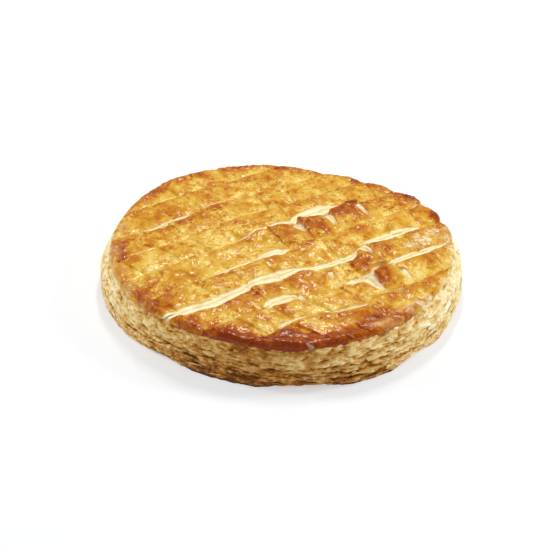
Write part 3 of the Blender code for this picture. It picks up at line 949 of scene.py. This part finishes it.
def lower_sheet(material):
    """From the seam down to the base: the belly's radius, tucked in at the seam and at the foot."""
    rows = 50
    angle, down = side_grid(rows)
    belly = BELLY_RADIUS + lobed(angle, BELLY_LOBES)
    seam = seam_height(angle)
    z = (seam + 0.4 * MM) * (1 - down)
    open_seam = seam_depth(angle)
    tuck = SEAM_DEPTH * open_seam * (1 - np.sqrt(1 - np.clip((0.26 - down) / 0.26, 0, 0.999) ** 2))
    tuck = tuck + 6.0 * MM * smooth((0.04 - down) / 0.04)
    tuck = tuck + foot_tuck(angle, down)
    jut, pit, rough = leaf_relief(angle, down, 11 * MM, 4.0, 80)
    jut = jut * (1 - smooth((down - 0.88) / 0.12))
    split = cracks(angle, z)
    radius = belly + 0.2 * MM - tuck + jut - 1.0 * MM * split * (1 - smooth((down - 0.88) / 0.12))
    # Darker toward the front, most near the foot: painted shade, in part browner pastry. Paler on the left: painted
    # light.
    front = (0.5 - 0.5 * np.sin(angle + math.radians(2))) ** 5
    left = bump(turned_from(angle, -160), 65)
    # Darker in the cracks: painted shade.
    pit = pit * (1 + left) + 0.3 * split
    bake = 0.425 - 0.1 * left + 0.1 * down + 0.44 * front - 0.24 * rough
    bake = bake + 0.12 * front * smooth((down - 0.1) / 0.4) + (0.22 + 0.42 * front) * smooth((down - 0.8) / 0.18)
    bake = bake + 0.28 * open_seam * smooth((0.12 - down) / 0.1)
    faces = grid_faces(rows, SIDE_COLUMNS, closed=True)[:, ::-1]
    attributes = {"bake": bake.ravel(), "pit": pit.ravel()}
    return make_piece("lower_sheet", side_points(radius, angle, z), faces, attributes, material)


flaky_side = side_material()
upper_sheet(flaky_side)
lower_sheet(flaky_side)

# ---------------------------------------------------------------------------
# Loose leaves. Shreds of pastry a few millimetres long that peel off the side, each still hanging by
# one edge; paler than the side, as they tore late in the baking.
# ---------------------------------------------------------------------------

LEAF_COUNT = 130
LEAF_THICKNESS = 0.12 * MM
# Leaves listed one by one: direction, height, half length, half height, free edge's lift, how much paler.
LARGE_LEAVES = (
    (-111.5, 19.0, 4.0, 1.9, 0.8, 0.17),
    (-63.0, 17.0, 4.0, 1.5, 0.5, 0.15),
    (-57.0, 6.5, 2.6, 1.1, 0.5, 0.2),
    (-48.0, 19.0, 5.0, 1.6, 0.6, 0.1),
    (-38.0, 16.0, 5.0, 1.8, 0.6, 0.1),
    (-27.0, 18.0, 5.0, 1.8, 0.6, 0.1),
    (-70.0, 14.5, 3.6, 1.2, 0.5, 0.1),
)


def loose_leaves(material):
    """Each leaf is a flattened tube laid on the side: round it, half length * cos and thickness * sin,
    pinched shut at both ends, with one long edge lifting off by lift * share^1.5."""
    rng = np.random.default_rng(12)
    place, z, length, height, lift, fresh = np.array(LARGE_LEAVES).T
    place = np.concatenate([place, math.degrees(ROUGHEST_TURN) + rng.normal(0, 62, LEAF_COUNT)])
    z = np.concatenate([z, rng.uniform(2.5, 25.5, LEAF_COUNT)])
    length = np.concatenate([length, rng.uniform(1.5, 6.0, LEAF_COUNT)])
    height = np.concatenate([height, rng.uniform(0.35, 0.85, LEAF_COUNT)])
    lift = np.concatenate([lift, rng.uniform(0.1, 0.9, LEAF_COUNT)])
    count, rows, columns = len(place), 5, 10
    share = np.linspace(-1, 1, rows)[None, :, None]
    turn = np.linspace(0, 2 * math.pi, columns, endpoint=False)[None, None, :]
    free = np.where(rng.random(count) < 0.7, 1, -1)[:, None, None]
    ragged = 1 + 0.7 * (rng.random((count, rows, 1)) - 0.5) - 0.25 * share**2
    skew = rng.uniform(-0.8, 0.8, count)[:, None, None]
    along = length[:, None, None] * ragged * np.sign(np.cos(turn)) * np.abs(np.cos(turn)) ** 0.4 + skew * share * height[:, None, None]
    angle = np.radians(place)[:, None, None] + along * MM / BELLY_RADIUS
    torn = 1 + 0.5 * (rng.random((count, 1, columns)) - 0.5)
    z = (z[:, None, None] + height[:, None, None] * share * torn + 0.12 * along * skew) * MM
    off = 0.1 + lift[:, None, None] * ((1 - free * share) / 2) ** 1.5 * (0.8 + 0.4 * np.cos(turn) ** 2)
    radius = side_radius(angle, z) + off * MM + LEAF_THICKNESS * np.sin(turn) * (1 - share**2)
    row, column = np.meshgrid(np.arange(rows), np.arange(columns), indexing="ij")
    pinched = np.where((row % (rows - 1) == 0), np.minimum(column, columns - column), column)
    numbers = (row * columns + pinched).ravel()
    faces = numbers[grid_faces(rows, columns, closed=True)][:, ::-1]
    faces = (faces[None] + rows * columns * np.arange(count)[:, None, None]).reshape(-1, 4)
    # Darker toward the front: painted shade, as on the side.
    front = (0.5 - 0.5 * np.sin(angle + math.radians(2))) ** 5
    fresh = np.concatenate([fresh, np.zeros(LEAF_COUNT)])[:, None, None]
    bake = rng.uniform(0.0, 0.3, count)[:, None, None] - fresh + 0.42 * front + 0.1 * (z < 8 * MM)
    points = np.clip(side_points(radius, angle, z), np.array(cad_low), np.array(cad_high))
    attributes = {"bake": (bake + 0 * angle).ravel(), "pit": 0 * angle.ravel()}
    return make_piece("loose_leaves", points, faces, attributes, material)


def side_radius(angle, z):
    """How far out the side lies at a height, its leaves left out: the two sheets' own curves."""
    rim, belly = rim_radius(angle), BELLY_RADIUS + lobed(angle, BELLY_LOBES)
    top = rim_height(angle) - 0.6 * MM
    seam = seam_height(angle)
    out = np.sin(np.clip((top - z) / (top - seam) * 1.25, 0, 1) * math.pi / 2) ** 1.2
    upper = rim - 1.8 * MM + (belly - rim + 1.5 * MM) * out
    lower = belly + 0.2 * MM - foot_tuck(angle, 1 - z / seam)
    return np.where(z > seam, upper, lower)


loose_leaves(flaky_side)

# ---------------------------------------------------------------------------
# The underside. The lower sheet's flat face, baked brown against the oven tray.
# ---------------------------------------------------------------------------


def underside(material):
    """A flat disc out to the foot: radius = share * foot, with faint blisters that rise off the tray."""
    rows, columns = 40, 240
    angle = np.linspace(0, 2 * math.pi, columns, endpoint=False)[None, :]
    share = np.linspace(1, 0, rows)[:, None]
    foot = BELLY_RADIUS + lobed(angle, BELLY_LOBES) - foot_tuck(angle, 1.0)
    radius = foot * share
    x, y = radius * np.cos(angle), radius * np.sin(angle)
    z = 0.25 * MM * np.clip(fractal(x / (14 * MM), y / (14 * MM), 0 * x, 70, 2), 0, 1)
    bake = 0.74 + 0.2 * fractal(x / (25 * MM), y / (25 * MM), 0 * x, 71, 2)
    points = np.stack([x + PLAN_SHIFT[0], y + PLAN_SHIFT[1], z], axis=-1).reshape(-1, 3)
    faces = grid_faces(rows, columns, closed=True)
    faces = np.where(faces >= (rows - 1) * columns, (rows - 1) * columns, faces)
    attributes = {"bake": np.clip(bake, 0, 1).ravel(), "pit": 0 * bake.ravel()}
    return make_piece("underside", points, faces[:, ::-1], attributes, material)


underside(flaky_side)

# ---------------------------------------------------------------------------
# The setting: a white table that glows faintly, a narrow light above and behind that shows in the gloss, softboxes to
# the left, right and front, a dim white sky, and the camera.
# ---------------------------------------------------------------------------


def setting():
    mesh = bpy.data.meshes.new("table")
    half = 3.0
    corners = [(-half, -half, 0), (half, -half, 0), (half, half, 0), (-half, half, 0)]
    mesh.from_pydata(corners, [], [(0, 1, 2, 3)])
    material, shader, wire = new_material("white_table")
    shader.inputs["Base Color"].default_value = (0.49, 0.51, 0.53, 1)
    shader.inputs["Emission Color"].default_value = (1.0, 1.0, 1.0, 1)
    shader.inputs["Emission Strength"].default_value = 0.485
    shader.inputs["Roughness"].default_value = 0.9
    shader.inputs["Specular IOR Level"].default_value = 0.1
    mesh.materials.append(material)
    table = bpy.data.objects.new("table", mesh)
    bpy.context.scene.collection.objects.link(table)


def soft_light(name, place, aim, width, height, power, mirrored):
    """A softbox: a white rectangle, this wide and high, that faces the aim; mirrored if gloss shows it."""
    lamp = bpy.data.lights.new(name, "AREA")
    lamp.shape = "RECTANGLE"
    lamp.size = width
    lamp.size_y = height
    lamp.energy = power
    lamp.color = (1.0, 0.97, 0.9) if mirrored else (1, 1, 1)
    holder = bpy.data.objects.new(name, lamp)
    holder.visible_glossy = mirrored
    holder.location = place
    holder.rotation_euler = (Vector(aim) - Vector(place)).to_track_quat("-Z", "Y").to_euler()
    bpy.context.scene.collection.objects.link(holder)


def camera():
    """The camera stands in front of the cake, a metre off, and looks down on it."""
    elevation = math.radians(32.55)
    distance = 0.976
    view = bpy.data.cameras.new("camera")
    view.lens = 89.67
    holder = bpy.data.objects.new("camera", view)
    place = Vector((2.0 * MM, 2.85 * MM - distance * math.cos(elevation), distance * math.sin(elevation)))
    aim = Vector((-4.67 * MM, 5.10 * MM, 3.53 * MM))
    holder.location = place
    holder.rotation_euler = (aim - place).to_track_quat("-Z", "Y").to_euler()
    bpy.context.scene.collection.objects.link(holder)
    bpy.context.scene.camera = holder


setting()
soft_light("overhead", (0.05, 0.6, 1.0), (0, 0, 0), 0.08, 0.34, 5.8, True)
soft_light("left", (-1.1, 0.15, 0.6), (0, 0, 0.02), 0.3, 0.4, 6.2, False)
soft_light("right", (1.1, 0.15, 0.7), (0, 0, 0.02), 0.3, 0.4, 7.6, False)
soft_light("front", (0.2, -1.2, 1.2), (0, 0, 0.02), 0.8, 0.8, 6, False)
sky = bpy.data.worlds.new("sky")
sky.use_nodes = True
sky.node_tree.nodes["Background"].inputs["Color"].default_value = (1, 1, 1, 1)
sky.node_tree.nodes["Background"].inputs["Strength"].default_value = 0.26
bpy.context.scene.world = sky
bpy.context.scene.view_settings.view_transform = "Standard"
camera()
